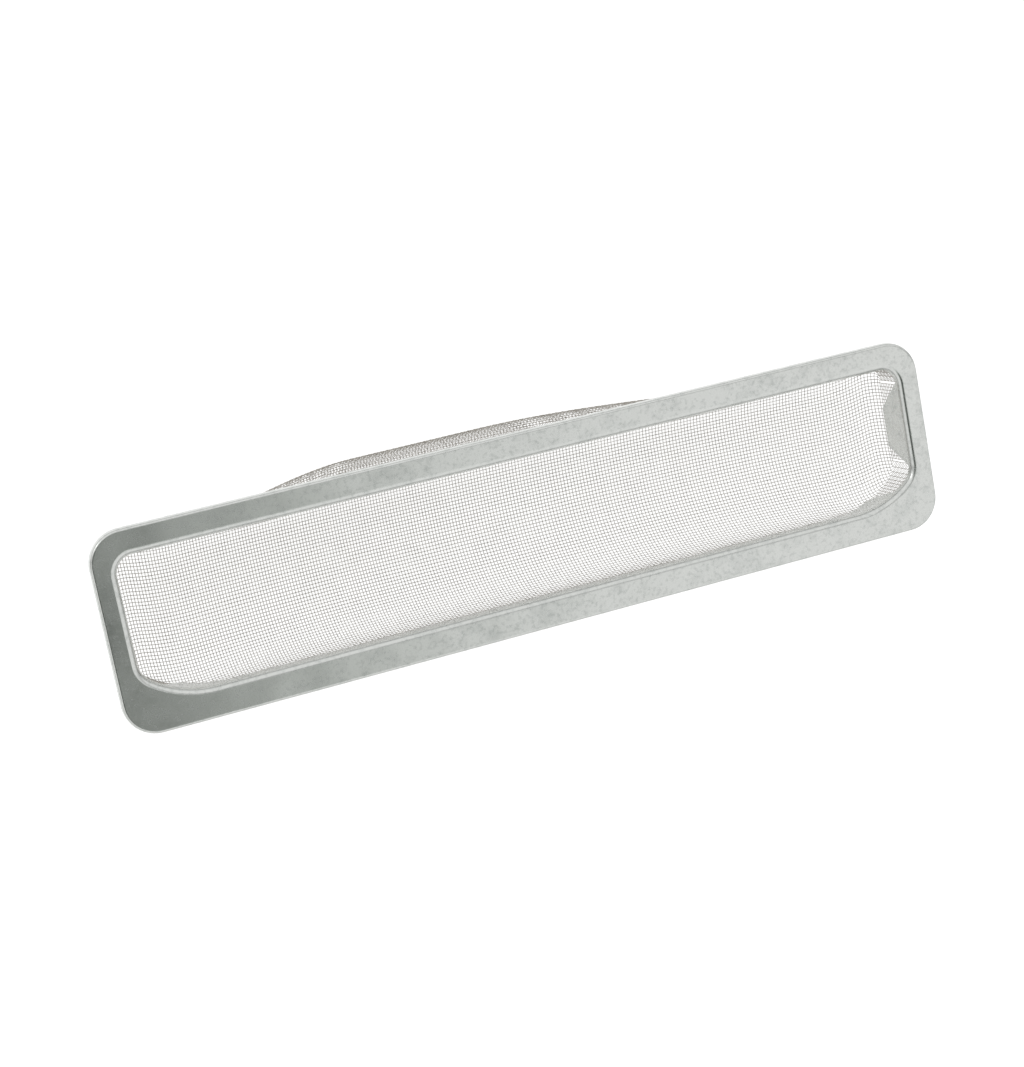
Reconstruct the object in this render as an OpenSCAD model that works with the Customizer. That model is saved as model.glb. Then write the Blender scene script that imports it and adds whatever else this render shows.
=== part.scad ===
/* [Frame] */
// Outer length of the frame
frame_length = 390; // [260:1:520]
// Outer width of the frame
frame_width = 89; // [74:1:140]
// Outer corner radius
corner_radius = 15; // [12:0.5:22]
// Thickness of the pressed sheet, front and back frame
sheet = 0.8; // [0.5:0.1:1]
// Height of the rolled outer rim
rim_height = 5; // [4.4:0.1:8]
// Outside radius of the rim's two bends
rim_bend = 1.4; // [1.2:0.1:2]
// How far the lip under the rim reaches in past the back frame's leg
lip_cover = 0.8; // [0.5:0.1:2]

/* [Window] */
// Flange width at each short end, rim to skirt
end_band = 10.6; // [10:0.1:18]
// Flange width along the side with tight corners
narrow_band = 12; // [10:0.1:20]
// Flange width along the side with sweeping corners
wide_band = 14; // [10:0.1:20]
// Radius of the two tight window corners
tight_corner = 8; // [6:0.5:12]
// First radius of a sweeping corner, next to the short end
near_corner = 10; // [7:0.5:14]
// Second radius of a sweeping corner, running out into the long side
far_corner = 45; // [30:1:60]
// Outside radius of the rolled-down inner edge
roll_radius = 2.8; // [2:0.1:3.5]

/* [Skirt] */
// Depth of the skirt along both long sides
skirt_depth = 6.5; // [4.5:0.1:9]
// Depth of the tab at each short end
tab_depth = 19.5; // [12:0.5:22]
// How far the tab's free edge stops short of the sweeping corner
tab_low_inset = 7; // [3:0.5:10]
// How far the tab's free edge stops short of the tight corner
tab_high_inset = 12.5; // [4:0.5:14]
// Depth of the ear beside each sweeping corner
ear_depth = 15; // [10:0.5:18]
// Distance from the window's end to the start of an ear
ear_start = 9; // [7:0.5:12]
// Distance from the window's end to an ear's tip
ear_tip = 19; // [16:0.5:24]
// Distance from the window's end to the end of an ear
ear_end = 36; // [28:0.5:50]

/* [Screen] */
// Thickness of the woven wire cloth, two wires
cloth = 0.6; // [0.4:0.05:0.8]
// Depth of the basket below the flange at its deepest
basket_depth = 41; // [30:0.5:60]
// Depth of the basket at its two short ends
basket_end_depth = 25; // [24:0.5:28]
// Middle of the basket's level stretch, measured from the frame's middle
basket_middle = -15; // [-40:1:40]
// Length of the basket's level stretch
basket_level = 90; // [40:1:140]
// How far the basket bellies out past its edge on the tight-cornered side
basket_belly = 11; // [0:0.5:12]
// Width of the cloth's flat border clamped under the flange
border_width = 6.2; // [5.5:0.1:7]

/* [Fits] */
// Gap between the cloth and the sheet on each side of it
cloth_gap = 0.3; // [0.15:0.05:0.5]
// Gap between the back frame's leg and the start of the rim's bend
leg_gap = 0.3; // [0.15:0.05:0.6]

/* [Hidden] */
$fn = 96;
slack = 1;

steel_colour = [0.72, 0.74, 0.72];
back_colour = [0.62, 0.64, 0.62];
cloth_colour = [0.80, 0.79, 0.75];

// The part stands on the basket, with the flange level on top.
flange_top = basket_depth + cloth / 2;

// Window outline, on the skirt's inner face.
window_end = frame_length / 2 - end_band;
window_high = frame_width / 2 - narrow_band;
window_low = -(frame_width / 2 - wide_band);

// A sweeping corner is two arcs that share a tangent where the first hands over to the second.
// They meet on the slope of a 3-4-5 triangle, which keeps the shared point a round number.
handover = [0.6, -0.8];
east = [1, 0];
north = [0, 1];
south = [0, -1];
corner_step = far_corner - near_corner;
near_x = window_end - near_corner;
far_x = near_x - corner_step * handover[0];
far_y = window_low + far_corner;
near_y = far_y + corner_step * handover[1];
handover_angle = atan2(handover[1], handover[0]);
tight_x = window_end - tight_corner;
tight_y = window_high - tight_corner;

// Middle surface of the cloth, measured from the skirt's inner face and the flange's top.
cloth_out = sheet + cloth_gap + cloth / 2;
cloth_down = sheet + cloth_gap + cloth / 2;
cloth_bend = roll_radius - cloth_out;
clamp_top = cloth_down + cloth / 2 + cloth_gap;
leg_inset = rim_bend + leg_gap;
lip_width = leg_inset + sheet + lip_cover;
clamp_inner = roll_radius + cloth_gap + 1;

// Depth of the cloth's upright wall behind the skirt, the ears and the tabs.
wall_cover = 1;
side_wall = skirt_depth + wall_cover;
ear_wall = ear_depth + wall_cover;
end_wall = tab_depth + wall_cover;
ear_run = 40;
end_run = 20;
end_round = 6;

// Cross section of the basket, as shares of its width, and how square its far corner is.
basket_keel = 0.56;
basket_square = 0.55;
belly_left = 118;
belly_right = 88;

// Steps of the cloth's surface: along each corner, along the middle and across the basket.
corner_steps = 10;
middle_steps = 30;
cross_steps = 16;
long_steps = 2 * corner_steps + middle_steps;

function mix(a, b, t) = a + (b - a) * t;
function clamp01(t) = min(1, max(0, t));
function smooth(t) = let (c = clamp01(t)) c * c * (3 - 2 * c);

// Everything between two directions that are at most 90 degrees apart.
module wedge(from, to) {
    polygon(frame_length * [[0, 0], from, from + to, to]);
}

module pie(radius, from, to) {
    intersection() {
        circle(radius);
        wedge(from, to);
    }
}

// The window's area, grown outwards all round.
module window_area(grow) {
    split = [near_x, near_y] + (near_corner + grow) * handover;
    for (side = [0, 1]) mirror([side, 0, 0]) {
        polygon([
            [-slack, window_high + grow],
            [tight_x, window_high + grow],
            [window_end + grow, tight_y],
            [window_end + grow, near_y],
            split,
            [far_x, window_low - grow],
            [-slack, window_low - grow]
        ]);
        translate([tight_x, tight_y]) pie(tight_corner + grow, east, north);
        translate([near_x, near_y]) pie(near_corner + grow, handover, east);
        translate([far_x, far_y]) pie(far_corner + grow, south, handover);
    }
}

// The frame's outline, drawn in from the outer edge all round.
module frame_area(inset) {
    corner_x = frame_length / 2 - corner_radius;
    corner_y = frame_width / 2 - corner_radius;
    square([frame_length - 2 * inset, 2 * corner_y], center = true);
    square([2 * corner_x, frame_width - 2 * inset], center = true);
    for (x = [-1, 1], y = [-1, 1]) {
        translate([x * corner_x, y * corner_y]) circle(corner_radius - inset);
    }
}

// Carries a profile drawn as outward distance and height along one straight side.
module straight_run(middle, direction, length) {
    translate([middle[0], middle[1], 0])
        rotate([0, 0, direction])
            rotate([90, 0, 0])
                linear_extrude(length, center = true) children();
}

// Carries the same kind of profile round one arc, between two directions from its centre.
module arc_run(centre, radius, from, to) {
    translate([centre[0], centre[1], 0]) intersection() {
        rotate_extrude() translate([radius, 0]) children();
        linear_extrude(frame_width, center = true) wedge(from, to);
    }
}

module along_window() {
    straight_run([0, window_high], 90, 2 * tight_x) children();
    straight_run([0, window_low], -90, 2 * far_x) children();
    for (side = [0, 1]) mirror([side, 0, 0]) {
        arc_run([tight_x, tight_y], tight_corner, east, north) children();
        straight_run([window_end, (near_y + tight_y) / 2], 0, tight_y - near_y) children();
        arc_run([near_x, near_y], near_corner, handover, east) children();
        arc_run([far_x, far_y], far_corner, south, handover) children();
    }
}

module along_rim() {
    corner_x = frame_length / 2 - corner_radius;
    corner_y = frame_width / 2 - corner_radius;
    for (side = [0, 1]) {
        straight_run([0, (1 - 2 * side) * frame_width / 2], 90 - 180 * side, 2 * corner_x) children();
        straight_run([(1 - 2 * side) * frame_length / 2, 0], 180 * side, 2 * corner_y) children();
        for (flip = [0, 1]) mirror([side, 0, 0]) mirror([0, flip, 0]) {
            arc_run([corner_x, corner_y], corner_radius, east, north) children();
        }
    }
}

// Quarter of a bent sheet: it turns from level, at the top, to upright, on the side given.
module bend_profile(radius, side) {
    intersection() {
        difference() {
            circle(radius);
            circle(radius - sheet);
        }
        translate([side > 0 ? 0 : -radius, 0]) square(radius);
    }
}

// The outer rim in section: bend, wall, bend and the lip folded in under it.
module rim_profile() {
    translate([-rim_bend, -rim_bend]) bend_profile(rim_bend, 1);
    translate([-sheet, rim_bend - rim_height]) square([sheet, rim_height - 2 * rim_bend]);
    translate([-rim_bend, rim_bend - rim_height]) mirror([0, 1]) bend_profile(rim_bend, 1);
    translate([-lip_width, -rim_height]) square([lip_width - rim_bend, sheet]);
}

// Side view of the skirt along a long side: shallow, with an ear beside the relieved corner.
module ear_outline(with_ear) {
    shoulder = mix(ear_start, ear_tip, 0.55);
    for (side = [0, 1]) mirror([side, 0]) {
        polygon(concat(
            [[-slack, -roll_radius], [-slack, -skirt_depth]],
            with_ear ? [
                [window_end - ear_end, -skirt_depth],
                [window_end - ear_tip, -ear_depth],
                [window_end - shoulder, -mix(skirt_depth, ear_depth, 0.72)],
                [window_end - ear_start, -roll_radius]
            ] : [
                [tight_x - skirt_depth + roll_radius, -skirt_depth],
                [tight_x, -roll_radius]
            ]
        ));
    }
}

// End view of the skirt: the tab that hangs from a short end between the relieved corners.
module tab_outline() {
    polygon([
        [near_y - slack, -roll_radius],
        [near_y + tab_low_inset, -tab_depth],
        [tight_y - tab_high_inset, -tab_depth],
        [tight_y + slack, -roll_radius]
    ]);
}

module skirt() {
    skirt_height = max(tab_depth, ear_depth) - roll_radius;
    intersection() {
        translate([0, 0, -roll_radius - skirt_height]) linear_extrude(skirt_height) difference() {
            window_area(sheet);
            window_area(0);
        }
        union() {
            translate([0, near_y, 0]) rotate([90, 0, 0])
                linear_extrude(frame_width) ear_outline(true);
            translate([0, tight_y, 0]) mirror([0, 1, 0]) rotate([90, 0, 0])
                linear_extrude(frame_width) ear_outline(false);
            for (side = [0, 1]) mirror([side, 0, 0]) translate([near_x + near_corner / 2, 0, 0])
                rotate([90, 0, 90]) linear_extrude(frame_length) tab_outline();
        }
    }
}

module front_frame() {
    color(steel_colour) translate([0, 0, flange_top]) {
        translate([0, 0, -sheet]) linear_extrude(sheet) difference() {
            frame_area(rim_bend);
            window_area(roll_radius);
        }
        along_window() translate([roll_radius, -roll_radius]) bend_profile(roll_radius, -1);
        skirt();
        along_rim() rim_profile();
    }
}

// The ring behind the flange: a level leg clamps the cloth and an upright leg stands on the rim's lip.
module back_frame() {
    leg_foot = rim_height - sheet;
    color(back_colour) translate([0, 0, flange_top]) {
        translate([0, 0, -clamp_top - sheet]) linear_extrude(sheet) difference() {
            frame_area(leg_inset + rim_bend);
            window_area(clamp_inner);
        }
        along_rim() {
            translate([-leg_inset - rim_bend, -clamp_top - rim_bend]) bend_profile(rim_bend, 1);
            translate([-leg_inset - sheet, -leg_foot]) square([sheet, leg_foot - clamp_top - rim_bend]);
        }
    }
}

// Point of the window's outline and its outward direction, as [x, y, direction x, direction y].
function arc_point(centre, radius, angle) =
    [centre[0] + radius * cos(angle), centre[1] + radius * sin(angle), cos(angle), sin(angle)];

function flipped(p) = [-p[0], p[1], -p[2], p[3]];

// Right half of the tight-cornered side, from the middle outwards.
function high_corner(step) = arc_point([tight_x, tight_y], tight_corner, 90 - 90 * step / corner_steps);

// Right half of the side with sweeping corners: the wide arc first, then the near one.
function low_corner(step) =
    let (share = step / corner_steps)
    share < 0.5
        ? arc_point([far_x, far_y], far_corner, mix(-90, handover_angle, 2 * share))
        : arc_point([near_x, near_y], near_corner, mix(handover_angle, 0, 2 * share - 1));

function long_side(index, straight_half, y, outward, corner) =
    index < corner_steps ? flipped(corner(corner_steps - index))
    : index > corner_steps + middle_steps ? corner(index - corner_steps - middle_steps)
    : [mix(-straight_half, straight_half, (index - corner_steps) / middle_steps), y, 0, outward];

function high_side(index) = long_side(index, tight_x, window_high, 1, function (s) high_corner(s));
function low_side(index) = long_side(index, far_x, window_low, -1, function (s) low_corner(s));

// Depth of the cloth's upright wall where it stands behind the skirt.
function wall_depth(x) =
    side_wall
    + (ear_wall - side_wall) * smooth((abs(x) - window_end + ear_end + ear_run / 2) / ear_run)
    + (end_wall - ear_wall) * smooth((abs(x) - window_end + end_run) / end_run);

// Depth of the basket's floor along its length: level in the middle, rising in a curve to each end.
function floor_depth(x) =
    let (
        away = max(0, abs(x - basket_middle) - basket_level / 2),
        run = window_end + cloth_out - basket_level / 2 - basket_middle * sign(x - basket_middle),
        rise = (basket_depth - basket_end_depth) * pow(away / run, 2),
        edge = clamp01((window_end + cloth_out - abs(x)) / end_round)
    )
    end_wall + (basket_depth - rise - end_wall) * sqrt(1 - pow(1 - edge, 2));

// How far the basket bellies out sideways at this length and at this share of its depth.
function belly_out(x, share) =
    let (reach = x < basket_middle ? belly_left : belly_right + basket_level / 2)
    basket_belly * (1 - smooth(max(0, abs(x - basket_middle) - basket_level / 2) / reach))
    * sin(180 * pow(clamp01(share), 2));

// Point of the basket between two facing points of the outline; shift moves it off the middle surface.
function basket_point(low, high, turn, shift) =
    let (
        out = cloth_out + shift,
        from = [low[0] + out * low[2], low[1] + out * low[3]],
        to = [high[0] + out * high[2], high[1] + out * high[3]],
        half = min(turn, 180 - turn),
        power = turn > 90 ? basket_square : 1,
        travel = 1 - pow(cos(half), power),
        drop = pow(sin(half), power),
        across = turn > 90 ? 1 - (1 - basket_keel) * travel : basket_keel * travel,
        flat = mix(from, to, across),
        wall = mix(wall_depth(from[0]), wall_depth(to[0]), across),
        depth = wall + (floor_depth(flat[0]) - wall) * drop + shift * drop,
        belly = turn > 90 ? belly_out(flat[0], depth / floor_depth(flat[0])) : 0
    )
    [flat[0], flat[1] + belly, -depth];

function grid_point(along, across, shift) =
    basket_point(low_side(along), high_side(along), 180 * across / cross_steps, shift);

// The edge of the basket as one loop, anticlockwise from above: low side, right end, high side, left end.
loop_steps = 2 * (long_steps + cross_steps);
function loop_place(step) =
    step <= long_steps ? [step, 0]
    : step <= long_steps + cross_steps ? [long_steps, step - long_steps]
    : step <= 2 * long_steps + cross_steps ? [2 * long_steps + cross_steps - step, cross_steps]
    : [0, loop_steps - step];

function loop_outline(step) =
    let (place = loop_place(step), low = low_side(place[0]), high = high_side(place[0]))
    place[1] == 0 ? low
    : place[1] == cross_steps ? high
    : let (at = grid_point(place[0], place[1], 0), end = sign(at[0]))
        [end * window_end, at[1], end, 0];

// The cloth leaves the basket upwards, turns over the roll and ends in the flat border.
function border_ring(outline, out, height) =
    [outline[0] + out * outline[2], outline[1] + out * outline[3], height];
function border_rings(shift) =
    let (bend = cloth_bend - shift)
    [
        [cloth_out + shift, -roll_radius],
        for (angle = [30, 60]) [roll_radius - bend * cos(angle), bend * sin(angle) - roll_radius],
        [roll_radius, -cloth_down - shift],
        [roll_radius + border_width, -cloth_down - shift]
    ];
ring_count = len(border_rings(0));

// One face of the cloth: the basket's grid, then the rings of the border.
function cloth_points(shift) = concat(
    [for (along = [0 : long_steps], across = [0 : cross_steps]) grid_point(along, across, shift)],
    [for (ring = border_rings(shift), step = [0 : loop_steps - 1])
        border_ring(loop_outline(step), ring[0], ring[1])]
);

grid_size = (long_steps + 1) * (cross_steps + 1);
face_size = grid_size + ring_count * loop_steps;
function grid_index(along, across) = along * (cross_steps + 1) + across;
function ring_index(ring, step) =
    let (k = step % loop_steps)
    ring < 0
        ? let (place = loop_place(k)) grid_index(place[0], place[1])
        : grid_size + ring * loop_steps + k;

// Faces of the cloth's upper side; the lower side has them reversed.
cloth_faces = concat(
    [for (i = [0 : long_steps - 1], j = [0 : cross_steps - 1])
        [grid_index(i, j), grid_index(i, j + 1), grid_index(i + 1, j + 1), grid_index(i + 1, j)]],
    [for (r = [-1 : ring_count - 2], k = [0 : loop_steps - 1])
        [ring_index(r, k), ring_index(r, k + 1), ring_index(r + 1, k + 1), ring_index(r + 1, k)]]
);

function reversed(face) = [for (i = [len(face) - 1 : -1 : 0]) face_size + face[i]];

module mesh_screen() {
    last = ring_count - 1;
    color(cloth_colour) translate([0, 0, flange_top]) polyhedron(
        points = concat(cloth_points(-cloth / 2), cloth_points(cloth / 2)),
        faces = concat(
            cloth_faces,
            [for (face = cloth_faces) reversed(face)],
            [for (k = [0 : loop_steps - 1])
                [
                    ring_index(last, k),
                    ring_index(last, k + 1),
                    face_size + ring_index(last, k + 1),
                    face_size + ring_index(last, k)
                ]]
        )
    );
}

front_frame();
back_frame();
mesh_screen();
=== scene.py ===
import bpy
import math
from mathutils import Matrix, Vector


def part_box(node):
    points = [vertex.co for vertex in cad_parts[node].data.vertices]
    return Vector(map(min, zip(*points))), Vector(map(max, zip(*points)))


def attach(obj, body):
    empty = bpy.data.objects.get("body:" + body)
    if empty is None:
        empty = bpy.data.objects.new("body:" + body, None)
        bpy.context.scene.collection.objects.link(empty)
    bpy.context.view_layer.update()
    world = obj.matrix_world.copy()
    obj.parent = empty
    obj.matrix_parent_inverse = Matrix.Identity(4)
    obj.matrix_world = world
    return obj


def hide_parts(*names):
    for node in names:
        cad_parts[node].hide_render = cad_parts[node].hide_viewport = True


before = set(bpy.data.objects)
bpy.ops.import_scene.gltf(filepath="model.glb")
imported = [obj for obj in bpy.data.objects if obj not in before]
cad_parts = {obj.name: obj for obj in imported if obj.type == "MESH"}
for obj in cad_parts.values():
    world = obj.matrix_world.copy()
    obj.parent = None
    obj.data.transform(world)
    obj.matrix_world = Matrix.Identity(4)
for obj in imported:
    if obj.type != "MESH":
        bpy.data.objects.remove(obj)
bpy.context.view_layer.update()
bpy.ops.object.select_all(action="DESELECT")
print("frame loaded")

mm = 0.001
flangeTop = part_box("front_frame")[1].z / mm  # top face of the flange, above the floor


# ---- colours and nodes

def paint(hexColour):
    # a colour written as sRGB hex, turned to linear
    parts = [int(hexColour[i:i + 2], 16) / 255 for i in (1, 3, 5)]
    return [c / 12.92 if c < 0.04045 else ((c + 0.055) / 1.055) ** 2.4 for c in parts] + [1]


def addNode(material, kind, settings=None, links=None):
    # adds one node, sets its sockets and properties, and links sockets to it
    node = material.node_tree.nodes.new("ShaderNode" + kind)
    for name, value in (settings or {}).items():
        if hasattr(node, str(name)):
            setattr(node, name, value)
        else:
            node.inputs[name].default_value = value
    for name, output in (links or {}).items():
        material.node_tree.links.new(output, node.inputs[name])
    return node


def newMaterial(name):
    material = bpy.data.materials.new(name)
    material.use_nodes = True
    material.node_tree.nodes.clear()
    return material


def rampColours(node, stops):
    # stops are (position, sRGB hex)
    ramp = node.color_ramp
    while len(ramp.elements) < len(stops):
        ramp.elements.new(0.5)
    for element, (position, colour) in zip(ramp.elements, stops):
        element.position = position
        element.color = paint(colour)
    return node


# Hot-dip galvanised steel sheet, cold pressed: pale green-grey zinc with a soft spangle, no grain.
galvanised = {
    "light": "#d4d6d3",
    "dark": "#c4c7c4",
    "spangle": 5,         # mm, one zinc flower
    "speck": 0.9,         # mm, the small dark marks between them
    "roughness": 0.25,
    "wave": 34,           # mm, how far apart the pressing left the sheet a little wavy
    "waveRise": 0.35,     # mm
}


def galvanisedMaterial(name, tone):
    m = newMaterial(name)
    place = addNode(m, "TexCoord")
    flower = addNode(m, "TexVoronoi", {"Scale": 1 / (tone["spangle"] * mm), "feature": "SMOOTH_F1",
                                       "Smoothness": 0.8, "Randomness": 1},
                     {"Vector": place.outputs["Object"]})
    cloud = addNode(m, "TexNoise", {"Scale": 0.3 / (tone["spangle"] * mm), "Detail": 3, "Roughness": 0.5},
                    {"Vector": place.outputs["Object"]})
    speck = addNode(m, "TexNoise", {"Scale": 0.5 / (tone["speck"] * mm), "Detail": 2, "Roughness": 0.55},
                    {"Vector": place.outputs["Object"]})
    marks = addNode(m, "MapRange", {"interpolation_type": "SMOOTHSTEP", "From Min": 0.26, "From Max": 0.56},
                    {"Value": speck.outputs["Fac"]})
    soft = addNode(m, "Mix", {"data_type": "FLOAT", "Factor": 0.5},
                   {2: flower.outputs["Distance"], 3: cloud.outputs["Fac"]})
    both = addNode(m, "Mix", {"data_type": "FLOAT", "Factor": 0.3},
                   {2: soft.outputs[0], 3: marks.outputs["Result"]})
    shade = rampColours(addNode(m, "ValToRGB", None, {"Fac": both.outputs[0]}),
                        [(0.28, tone["dark"]), (0.64, tone["light"])])
    rough = addNode(m, "MapRange", {"From Min": 0.3, "From Max": 0.7, "To Min": tone["roughness"] + 0.04,
                                    "To Max": tone["roughness"] - 0.03}, {"Value": both.outputs[0]})
    wave = addNode(m, "TexNoise", {"Scale": 1 / (tone["wave"] * mm), "Detail": 1},
                   {"Vector": place.outputs["Object"]})
    swell = addNode(m, "Bump", {"Strength": 1, "Distance": tone["waveRise"] * mm},
                    {"Height": wave.outputs["Fac"]})
    bump = addNode(m, "Bump", {"Strength": 0.05, "Distance": 0.1 * mm},
                   {"Height": both.outputs[0], "Normal": swell.outputs["Normal"]})
    steel = addNode(m, "BsdfPrincipled", {"Metallic": 1},
                    {"Base Color": shade.outputs["Color"], "Roughness": rough.outputs["Result"],
                     "Normal": bump.outputs["Normal"]})
    addNode(m, "OutputMaterial", None, {"Surface": steel.outputs["BSDF"]})
    return m


# Drawn steel wire, zinc coated: warm grey, slightly dull, lighter and darker at random in soft patches.
wire = {
    "light": "#cdcac4",
    "dark": "#bcb8b1",
    "roughness": 0.75,
}


def wireMaterial(name, tone):
    m = newMaterial(name)
    place = addNode(m, "TexCoord")
    cloud = addNode(m, "TexNoise", {"Scale": 1 / (6 * mm), "Detail": 3}, {"Vector": place.outputs["Object"]})
    shade = rampColours(addNode(m, "ValToRGB", None, {"Fac": cloud.outputs["Fac"]}),
                        [(0.35, tone["dark"]), (0.65, tone["light"])])
    steel = addNode(m, "BsdfPrincipled", {"Metallic": 1, "Roughness": tone["roughness"]},
                    {"Base Color": shade.outputs["Color"]})
    addNode(m, "OutputMaterial", None, {"Surface": steel.outputs["BSDF"]})
    return m


# ---- the basket of woven wire cloth

# Every size is in mm and is the frame's own, measured from the flange's top face.
screen = {
    "pitch": 1.5875,          # 16 wires to the inch
    "wireSize": 0.28,
    "crown": 0.14,            # how far a wire's middle line rises and dips from the cloth's middle
    "crowding": 0.125,        # cross wires sit closer together towards the left end
    "windowEnd": 184.4,
    "high": 32.5,
    "low": -30.5,
    "tightCorner": 8,
    "nearCorner": 10,
    "farCorner": 45,
    "roll": 2.8,
    "clothOut": 1.4,
    "borderShown": 3.4,       # how much of the clamped border is modelled past the roll
    "sideWall": 7.5,
    "earWall": 16,
    "endWall": 20.5,
    "earEnd": 36,
    "earRun": 40,
    "endRun": 20,
    "endRound": 6,
    "depth": 41,
    "endDepth": 25,
    "middle": -15,
    "level": 90,
    "belly": 13.4,
    "bellyMiddle": -42,
    "bellyLevel": 59,
    "bellyLeft": 97,
    "bellyRight": 198,
    "bellyLow": 1.45,         # the higher, the lower down the belly sits
    "keel": 0.56,
    "square": 0.55,
}
tightX = screen["windowEnd"] - screen["tightCorner"]
tightY = screen["high"] - screen["tightCorner"]
nearX = screen["windowEnd"] - screen["nearCorner"]
farX = nearX - 0.6 * (screen["farCorner"] - screen["nearCorner"])
farY = screen["low"] + screen["farCorner"]
nearY = farY - 0.8 * (screen["farCorner"] - screen["nearCorner"])
wallX = screen["windowEnd"] + screen["clothOut"]


def smooth(t):
    t = min(1, max(0, t))
    return t * t * (3 - 2 * t)


def lowEdge(x, out):
    # the side with sweeping corners, moved outwards; the corner is two arcs
    x, far, near = abs(x), screen["farCorner"] + out, screen["nearCorner"] + out
    if x <= farX:
        return screen["low"] - out
    if x <= farX + 0.6 * far:
        return farY - math.sqrt(far ** 2 - (x - farX) ** 2)
    return nearY - math.sqrt(max(0, near ** 2 - (x - nearX) ** 2))


def highEdge(x, out):
    x, corner = abs(x), screen["tightCorner"] + out
    if x <= tightX:
        return screen["high"] + out
    return tightY + math.sqrt(max(0, corner ** 2 - (x - tightX) ** 2))


def wallDepth(x):
    gap = abs(x) - screen["windowEnd"]
    ear = smooth((gap + screen["earEnd"] + screen["earRun"] / 2) / screen["earRun"])
    end = smooth((gap + screen["endRun"]) / screen["endRun"])
    return (screen["sideWall"] + (screen["earWall"] - screen["sideWall"]) * ear
            + (screen["endWall"] - screen["earWall"]) * end)


def floorDepth(x):
    side = 1 if x > screen["middle"] else -1
    away = max(0, abs(x - screen["middle"]) - screen["level"] / 2)
    run = wallX - screen["level"] / 2 - screen["middle"] * side
    rise = (screen["depth"] - screen["endDepth"]) * (away / run) ** 2
    edge = min(1, max(0, (wallX - abs(x)) / screen["endRound"]))
    return screen["endWall"] + (screen["depth"] - rise - screen["endWall"]) * math.sqrt(1 - (1 - edge) ** 2)


def bellyOut(x, share):
    off = x - screen["bellyMiddle"]
    reach = screen["bellyLeft"] if off < 0 else screen["bellyRight"]
    away = max(0, abs(off) - screen["bellyLevel"] / 2) / reach
    bulge = math.sin(math.pi * min(1, max(0, share)) ** screen["bellyLow"])
    return screen["belly"] * (1 - smooth(away)) * bulge


def borderLine():
    # the cloth turns over the roll and runs out flat: (outward, height), from the border inwards
    bend = screen["roll"] - screen["clothOut"]
    line = [(screen["roll"] + screen["borderShown"], bend - screen["roll"])]
    for angle in (90, 75, 60, 45, 30, 15, 0):
        a = math.radians(angle)
        line.append((screen["roll"] - bend * math.cos(a), bend * math.sin(a) - screen["roll"]))
    return line


def sectionAt(x):
    # the cloth cut across at x, as (x, y, z) from the low border to the high one, and the keel's index
    border = borderLine()
    if abs(x) > wallX:  # past the end wall: the bend and the border only
        out = abs(x) - screen["windowEnd"]
        bend = screen["roll"] - screen["clothOut"]
        dip = max(0, screen["roll"] - out)
        height = math.sqrt(max(0, bend ** 2 - dip ** 2)) - screen["roll"]
        shown = [p for p in border if p[0] > out] + [(out, height)]
        points = [(x, lowEdge(x, o), h) for o, h in shown]
        points.append((x, nearY + (tightY - nearY) * screen["keel"], height))
        keel = len(points) - 1
        return points + [(x, highEdge(x, o), h) for o, h in reversed(shown)], keel
    low, high = lowEdge(x, screen["clothOut"]), highEdge(x, screen["clothOut"])
    wall, floor = wallDepth(x), floorDepth(x)
    points = [(x, lowEdge(x, o), h) for o, h in border]
    steps = 60
    for i in range(steps + 1):
        half = math.radians(90 * smooth(i / steps))
        points.append((x, low + (high - low) * screen["keel"] * (1 - math.cos(half)),
                       -(wall + (floor - wall) * math.sin(half))))
    keel = len(points) - 1
    for i in range(1, steps + 1):
        half = math.radians(90 * smooth(1 - i / steps))
        across = 1 - (1 - screen["keel"]) * (1 - max(0, math.cos(half)) ** screen["square"])
        depth = wall + (floor - wall) * math.sin(half) ** screen["square"]
        points.append((x, low + (high - low) * across + bellyOut(x, depth / floor), -depth))
    return points + [(x, highEdge(x, o), h) for o, h in reversed(border)], keel


def endWallAt(side, height):
    # a level line across the upright end wall
    x, keelY = side * wallX, nearY + (tightY - nearY) * screen["keel"]
    return [(x, nearY, height), (x, keelY, height), (x, tightY, height)], 1


def walkAlong(points, start, direction, pitch):
    # places at every pitch along the points from start, as {wire number: point}
    places = {0: points[start]}
    number, left, i = 0, pitch, start
    here = Vector(points[start])
    while 0 <= i + direction < len(points):
        there = Vector(points[i + direction])
        step = (there - here).length
        if step < left:
            left -= step
            here, i = there, i + direction
            continue
        here = here + (there - here) * (left / step)
        number += direction
        places[number] = tuple(here)
        left = pitch
    return places


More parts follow.
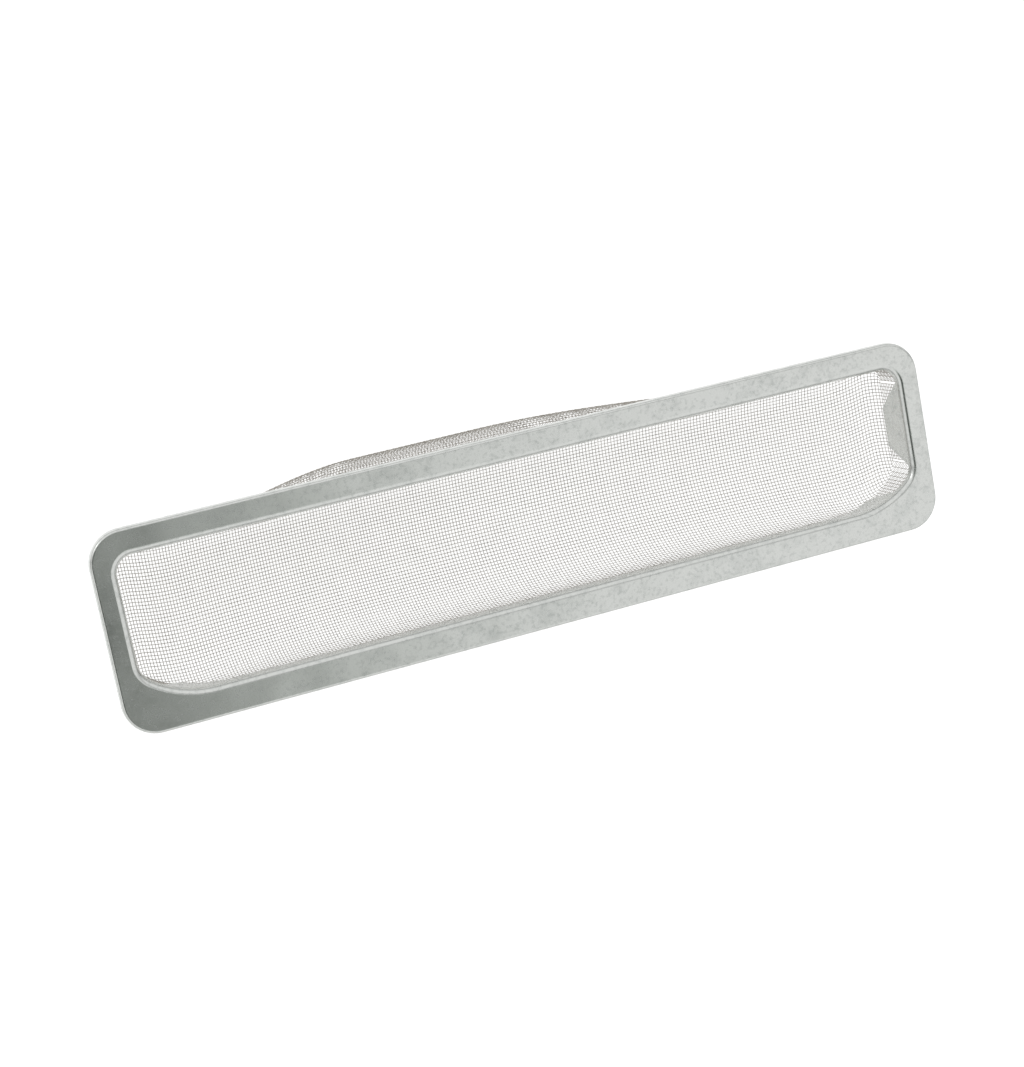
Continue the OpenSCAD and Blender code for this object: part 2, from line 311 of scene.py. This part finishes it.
def crossWireLines():
    # the thread along the keel, walked from the middle to both ends, gives each cross wire its place
    lines = []
    pitch = screen["pitch"]
    for side in (-1, 1):
        x = screen["middle"]
        path = [("floor", x, -floorDepth(x))]
        while abs(x) < wallX - 1e-6:
            near = wallX - abs(x) < screen["endRound"] + 1
            x = x + side * (0.02 if near else 0.1)
            if abs(x) > wallX:
                x = side * wallX
            path.append(("floor", x, -floorDepth(x)))
        top = -screen["roll"]
        steps = 60
        for i in range(1, steps + 1):
            path.append(("wall", side * wallX, -screen["endWall"] + (top + screen["endWall"]) * i / steps))
        for out, height in reversed(borderLine()):
            path.append(("border", side * (screen["windowEnd"] + out), height))
        travelled, number = 0, 0
        for a, b in zip(path, path[1:]):
            step = math.hypot(b[1] - a[1], b[2] - a[2])
            if step == 0:
                continue
            crowd = 1 + screen["crowding"] * smooth((20 - b[1]) / 90)
            share = step * crowd
            while travelled + share >= pitch * (number + 1):
                number += 1
                t = (pitch * number - travelled) / share
                lines.append((side * number, b[0], a[1] + (b[1] - a[1]) * t, a[2] + (b[2] - a[2]) * t))
            travelled += share
    lines.append((0, "floor", screen["middle"], -floorDepth(screen["middle"])))
    return sorted(lines)


def weaveGrid():
    grid = {}
    for number, kind, x, height in crossWireLines():
        points, keel = endWallAt(1 if x > 0 else -1, height) if kind == "wall" else sectionAt(x)
        for direction in (-1, 1):
            for along, point in walkAlong(points, keel, direction, screen["pitch"]).items():
                grid[number, along] = Vector(point)
    return grid


def clothNormal(grid, key):
    k, n = key
    here = grid[key]
    a = grid.get((k + 1, n), here) - grid.get((k - 1, n), here)
    b = grid.get((k, n + 1), here) - grid.get((k, n - 1), here)
    normal = a.cross(b)
    return normal.normalized() if normal.length > 1e-9 else Vector((0, 0, 1))


def wireRuns(grid, lengthwise):
    # each wire as runs of crossings, broken where the cloth's edge cuts it
    runs = {}
    for k, n in grid:
        runs.setdefault(n if lengthwise else k, []).append(k if lengthwise else n)
    for wireNumber, places in sorted(runs.items()):
        places.sort()
        run = [places[0]]
        for p in places[1:]:
            if p == run[-1] + 1:
                run.append(p)
            else:
                yield wireNumber, run
                run = [p]
        yield wireNumber, run


def makeWires(name, grid, normals, lengthwise):
    curve = bpy.data.curves.new(name, "CURVE")
    curve.dimensions = "3D"
    curve.bevel_depth = screen["wireSize"] / 2 * mm
    curve.bevel_resolution = 0
    curve.use_fill_caps = True
    for wireNumber, run in wireRuns(grid, lengthwise):
        if len(run) < 3:
            continue
        spline = curve.splines.new("POLY")
        spline.points.add(len(run) - 1)
        flat = []
        for p in run:
            key = (p, wireNumber) if lengthwise else (wireNumber, p)
            over = 1 if (p + wireNumber) % 2 == 0 else -1
            rise = normals[key] * screen["crown"] * (over if lengthwise else -over)
            point = (grid[key] + rise + Vector((0, 0, flangeTop))) * mm
            flat += [*point, 1]
        spline.points.foreach_set("co", flat)
    piece = bpy.data.objects.new(name, curve)
    bpy.context.scene.collection.objects.link(piece)
    bpy.ops.object.select_all(action="DESELECT")
    piece.select_set(True)
    bpy.context.view_layer.objects.active = piece
    bpy.ops.object.convert(target="MESH")
    bpy.ops.object.shade_smooth()
    piece.select_set(False)
    return piece


grid = weaveGrid()
normals = {key: clothNormal(grid, key) for key in grid}
print("weave laid out:", len(grid), "crossings")
wireFinish = wireMaterial("zincCoatedWire", wire)
for name, lengthwise in (("screenLongWires", True), ("screenCrossWires", False)):
    wires = makeWires(name, grid, normals, lengthwise)
    wires.data.materials.clear()
    wires.data.materials.append(wireFinish)
    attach(wires, "root")
    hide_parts("mesh_screen")
    print(name, len(wires.data.polygons), "faces")

# ---- the two pressed frames

frontFinish = galvanisedMaterial("galvanisedFront", galvanised)
backFinish = galvanisedMaterial("galvanisedBack", galvanised)
for node, finish in (("front_frame", frontFinish), ("back_frame", backFinish)):
    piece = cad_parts[node]
    piece.data.materials.clear()
    piece.data.materials.append(finish)
print("frames finished")

# ---- studio

studio = {
    "floorSize": 12,
    "floorGlow": 0.78,                 # what the camera and the metal see of the white paper, lit or not
    "floorColour": "#b4b4b4",
    "dome": 1.0,
    "capPlace": (-0.12, -0.2, 0),      # the unlit ceiling over the camera, as a direction from straight up
    "capInner": 0.21,
    "capOuter": 0.4,
    "capDark": 0.04,
    "capColour": "#edffed",
    "gapPlace": 0.1,                   # the gap between the two lamps overhead runs along the object
    "gapHalf": 0.08,
    "gapDark": 0.5,
    "lampPlace": (-1.1, 0.9, 1.3),
    "lampSize": 0.3,
    "lampPower": 1.6,
    "horizonDark": 0.55,               # the room behind the lamps, seen in the frame's outer bend
}

bpy.ops.mesh.primitive_plane_add(size=studio["floorSize"], location=(0, 0, 0))
floor = bpy.context.object
floor.name = "floor"
m = newMaterial("paperSweep")
path = addNode(m, "LightPath")
direct = addNode(m, "Math", {"operation": "MAXIMUM"},
                 {0: path.outputs["Is Camera Ray"], 1: path.outputs["Is Glossy Ray"]})
seen = addNode(m, "Math", {"operation": "MAXIMUM"},
               {0: direct.outputs[0], 1: path.outputs["Is Transmission Ray"]})
strength = addNode(m, "Math", {"operation": "MULTIPLY", 1: studio["floorGlow"]}, {0: seen.outputs[0]})
glow = addNode(m, "Emission", {"Color": (1, 1, 1, 1)}, {"Strength": strength.outputs[0]})
paper = addNode(m, "BsdfDiffuse", {"Color": paint(studio["floorColour"])})
both = addNode(m, "AddShader", None, {0: glow.outputs[0], 1: paper.outputs[0]})
addNode(m, "OutputMaterial", None, {"Surface": both.outputs[0]})
floor.data.materials.append(m)

world = bpy.data.worlds.new("lightTent")
bpy.context.scene.world = world
world.use_nodes = True
world.node_tree.nodes.clear()
where = addNode(world, "TexCoord")
up = addNode(world, "SeparateXYZ", None, {0: where.outputs["Generated"]})
level = addNode(world, "CombineXYZ", None, {"X": up.outputs["X"], "Y": up.outputs["Y"]})
away = addNode(world, "VectorMath", {"operation": "DISTANCE", 1: studio["capPlace"]}, {0: level.outputs[0]})
cap = addNode(world, "MapRange", {
    "interpolation_type": "SMOOTHSTEP", "From Min": studio["capInner"], "From Max": studio["capOuter"],
    "To Min": studio["capDark"], "To Max": studio["dome"]}, {"Value": away.outputs["Value"]})
offGap = addNode(world, "Math", {"operation": "SUBTRACT", 1: studio["gapPlace"]}, {0: up.outputs["Y"]})
across = addNode(world, "Math", {"operation": "ABSOLUTE"}, {0: offGap.outputs[0]})
gap = addNode(world, "MapRange", {
    "interpolation_type": "SMOOTHSTEP", "From Min": studio["gapHalf"] / 2, "From Max": studio["gapHalf"] * 2,
    "To Min": studio["gapDark"], "To Max": 1}, {"Value": across.outputs[0]})
tent = addNode(world, "Math", {"operation": "MULTIPLY"}, {0: cap.outputs["Result"], 1: gap.outputs["Result"]})
room = addNode(world, "MapRange", {"interpolation_type": "SMOOTHSTEP", "From Min": 0.1, "From Max": 0.5,
                                   "To Min": studio["horizonDark"], "To Max": 1}, {"Value": up.outputs["Z"]})
lit = addNode(world, "Math", {"operation": "MULTIPLY"}, {0: tent.outputs[0], 1: room.outputs["Result"]})
tint = addNode(world, "Mix", {"data_type": "RGBA", 6: paint(studio["capColour"]), 7: (1, 1, 1, 1)},
               {"Factor": cap.outputs["Result"]})
rays = addNode(world, "LightPath")
shown = addNode(world, "Mix", {"data_type": "FLOAT", 3: 1}, {"Factor": rays.outputs["Is Camera Ray"],
                                                            2: lit.outputs[0]})
sky = addNode(world, "Background", None, {"Color": tint.outputs[2], "Strength": shown.outputs[0]})
addNode(world, "OutputWorld", None, {"Surface": sky.outputs[0]})

lampData = bpy.data.lights.new("softbox", "AREA")
lampData.size = studio["lampSize"]
lampData.energy = studio["lampPower"]
lamp = bpy.data.objects.new("softbox", lampData)
bpy.context.scene.collection.objects.link(lamp)
lamp.location = studio["lampPlace"]
lamp.rotation_euler = (-Vector(studio["lampPlace"])).to_track_quat("-Z", "Y").to_euler()

# ---- camera

view = {
    "place": (-0.2931, 0.1820, 0.9051 + flangeTop * mm),
    "right": (0.92713, -0.18796, 0.32419),
    "down": (-0.23708, -0.96418, 0.11898),
    "focal": 74.2,
}
cameraData = bpy.data.cameras.new("camera")
cameraData.lens = view["focal"]
camera = bpy.data.objects.new("camera", cameraData)
bpy.context.scene.collection.objects.link(camera)
right = Vector(view["right"]).normalized()
down = Vector(view["down"])
down = (down - right * down.dot(right)).normalized()
forward = right.cross(down)
turn = Matrix((right, -down, -forward)).transposed().to_4x4()
camera.matrix_world = Matrix.Translation(view["place"]) @ turn
cameraData.clip_start = 0.05
bpy.context.scene.camera = camera
bpy.context.scene.view_settings.view_transform = "Standard"
print("studio and camera set")
